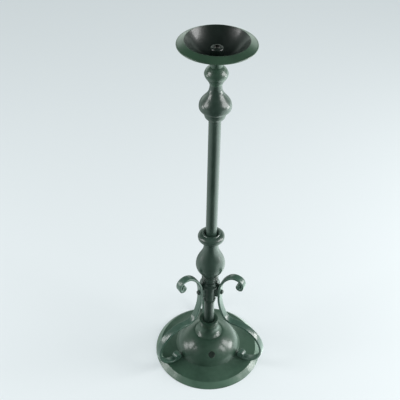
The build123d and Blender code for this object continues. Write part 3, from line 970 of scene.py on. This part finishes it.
rod_line = [(rod_bore, rod_z), (rod_r - rod_chamfer, rod_z)]
rod_line += thread_rings(rod_z + 0.4, thread_turns)
rod_line += [(rod_r, rod_z + 20.0), (rod_r, rod_top - 6.0)]
rod_line += thread_rings(rod_top - 0.6 - top_turns * thread_pitch, top_turns)
rod_line += [(rod_r - rod_chamfer, rod_top), (rod_bore, rod_top)]
hollow_rod = turned("hollow_rod", rod_line, edge=0, steps=72)
stands_for(hollow_rod, "bright_steel", rod_painted_shade, "threaded_rod")

# %% Washers and nut under the dome
wide_washer = ring("wide_washer", "base_washer", rod_hole_r, 19.0, edge=0.3, steps=96)
stands_for(wide_washer, "bright_steel", plain_steel, "base_washer")

split_z, split_top = heights("lock_washer")
split_washer = ring("split_washer", "lock_washer", rod_hole_r, 9.2, edge=0.15, steps=72)
saw_spot = (7.2 * MM, 0, (split_z + split_top) / 2 * MM)
cut(split_washer, block((6, 0.8, 6), saw_spot, (math.radians(35), 0, 0)))
bpy.ops.object.shade_smooth_by_angle(angle=smooth_turn)
stands_for(split_washer, "bright_steel", plain_steel, "lock_washer")

hex_z, hex_top = heights("base_nut")
hex_flats, hex_ease = 16.0, 1.2
hex_corner = hex_flats / math.sqrt(3)
barrel_line = [(nut_bore_r, hex_z), (hex_corner - hex_ease, hex_z), (hex_corner, hex_z + 0.5 * hex_ease),
               (hex_corner, hex_top - 0.5 * hex_ease), (hex_corner - hex_ease, hex_top),
               (nut_bore_r, hex_top)]
hex_nut = turned("hex_nut", barrel_line, edge=0, steps=72)
bpy.ops.object.select_all(action="DESELECT")
bpy.ops.mesh.primitive_cylinder_add(vertices=6, radius=hex_corner * MM, depth=2 * (hex_top - hex_z) * MM,
                                    location=(0, 0, (hex_z + hex_top) / 2 * MM))
cut(hex_nut, bpy.context.object, "INTERSECT")
bevel_edges(0.12, parts=2)
stands_for(hex_nut, "bright_steel", plain_steel, "base_nut")
print("fixings under the dome made")

# %% [markdown]
# ## The scrolls
#
# Each scroll is bent from one flat bar. That is also how it is modelled: we start with the bar's section
# at the screw, with its corners rounded, and spin it through one tangent arc after another, upwards to
# the curl and then downwards to the foot. A tight last arc rolls each end into an eye. One scroll is made
# and copied twice.

# %% Bar bending helpers
bar_thick, bar_wide, bar_corner = 4.5, 12.5, 1.1
arm_line_r = lug_reach + bar_thick / 2
arc_degrees = 3.0
eye_r, eye_turn = 4.7, -262.0
curl_rise = 4.0
curl_arcs = [(54.0, -48.0), (17.5, -59.0), (13.5, -98.0), (eye_r, eye_turn)]
sweep_drop = 10.62
sweep_arcs = [(97.0, 27.0), (21.0, 69.0), (52.0, -77.0), (38.0, -76.0), (27.0, -50.0), (eye_r, eye_turn)]


def left_of(aim):
    """Unit vector to the left of a heading in degrees, in the plane of (distance from axis, height)."""
    return Vector((-math.sin(math.radians(aim)), math.cos(math.radians(aim))))


def bend(start, aim, straight, arcs):
    """Extrude and spin the selected end of the bar along a straight and tangent arcs; the last centre."""
    run = left_of(aim - 90) * straight
    bpy.ops.mesh.extrude_region_move(TRANSFORM_OT_translate={"value": Vector((run.x, 0, run.y)) * MM})
    here = Vector(start) + run
    for radius, turn in arcs:
        signed = math.copysign(radius, turn)
        centre = here + left_of(aim) * signed
        bpy.ops.mesh.spin(steps=round(abs(turn) / arc_degrees), angle=math.radians(turn),
                          center=(centre.x * MM, 0, centre.y * MM), axis=(0, 1, 0))
        aim += turn
        here = centre - left_of(aim) * signed
    return centre


# %% One scroll
bpy.ops.object.select_all(action="DESELECT")
bpy.ops.mesh.primitive_plane_add(size=MM)
scroll = bpy.context.object
scroll.name = "bent_scroll_right"
bpy.ops.object.mode_set(mode="EDIT")
bpy.ops.mesh.select_mode(type="VERT")
bpy.ops.transform.resize(value=(bar_thick, bar_wide, 1))
bpy.ops.transform.translate(value=(arm_line_r * MM, 0, screw_z * MM))
bpy.ops.mesh.bevel(offset=bar_corner * MM, segments=4, affect="VERTICES")
bpy.ops.mesh.select_all(action="SELECT")
eye_high = bend((arm_line_r, screw_z), 90, curl_rise, curl_arcs)
bar_middle = Vector((arm_line_r, 0, screw_z)) * MM
select_where(lambda face: abs(face.normal.z) > 0.9 and len(face.verts) > 4
             and (face.calc_center_median() - bar_middle).length < MM / 10)
eye_low = bend((arm_line_r, screw_z), -90, sweep_drop, sweep_arcs)
bpy.ops.mesh.select_all(action="SELECT")
bpy.ops.mesh.normals_make_consistent(inside=False)
bpy.ops.object.mode_set(mode="OBJECT")
print("scroll: eyes at", [round(v, 1) for v in eye_high], "and", [round(v, 1) for v in eye_low])

# %% Eye cores and the three copies
core_r = eye_r - bar_thick / 2 + 0.25
for eye in (eye_high, eye_low):
    bpy.ops.object.select_all(action="DESELECT")
    bpy.ops.mesh.primitive_cylinder_add(vertices=48, radius=core_r * MM, depth=(bar_wide - 1.2) * MM,
                                        location=(eye.x * MM, 0, eye.y * MM),
                                        rotation=(math.radians(90), 0, 0))
    cut(scroll, bpy.context.object, "UNION")
bpy.ops.object.shade_smooth_by_angle(angle=smooth_turn)

scrolls = {"right": scroll}
for side in ("left", "back"):
    twin = scroll.copy()
    twin.data = scroll.data.copy()
    twin.name = "bent_scroll_" + side
    bpy.context.scene.collection.objects.link(twin)
    scrolls[side] = twin
for side, piece in scrolls.items():
    piece.rotation_euler = (0, 0, math.radians(scroll_azimuths[side] - 90))
    take(piece)
    bpy.ops.object.transform_apply(location=True, rotation=True, scale=True)
    stands_for(piece, "scroll_enamel", scroll_enamel, "scroll_arm_" + side)
print("scrolls:", sorted(p.name for p in scrolls.values()))

# %% [markdown]
# ## The screws
#
# One round-headed screw holds each scroll to its lug. It is turned like the big pieces, about its own
# axis, its slot is cut, and it is then laid on its side and moved to its lug.

# %% Screws
head_r, head_h, shank_r, shank_long = 4.4, 4.2, 2.0, 12.0
screw_line = [(0.0, -shank_long), (shank_r, -shank_long), (shank_r, 0.0), (head_r, 0.0), (head_r, 1.2)]
screw_line += bow((head_r, 1.2), (0.0, head_h), 1.1)
slot_wide, slot_high = 1.0, 2.4
for side, azimuth in scroll_azimuths.items():
    screw = lathe("scroll_screw_" + side, screw_line, steps=48, closed=False)
    bevel_edges(0.2, parts=2)
    cut(screw, block((3 * head_r, slot_wide, slot_high), (0, 0, head_h * MM), (0, 0, 0)))
    bpy.ops.object.shade_smooth_by_angle(angle=smooth_turn)
    screw.rotation_euler = (0, math.radians(90), math.radians(azimuth - 90))
    screw.location = out_along(azimuth, lug_reach + bar_thick, screw_z)
    bpy.ops.object.transform_apply(location=True, rotation=True, scale=True)
    stands_for(screw, "screw_blacked", screw_enamel, "arm_screw_" + side)
print("screws made")
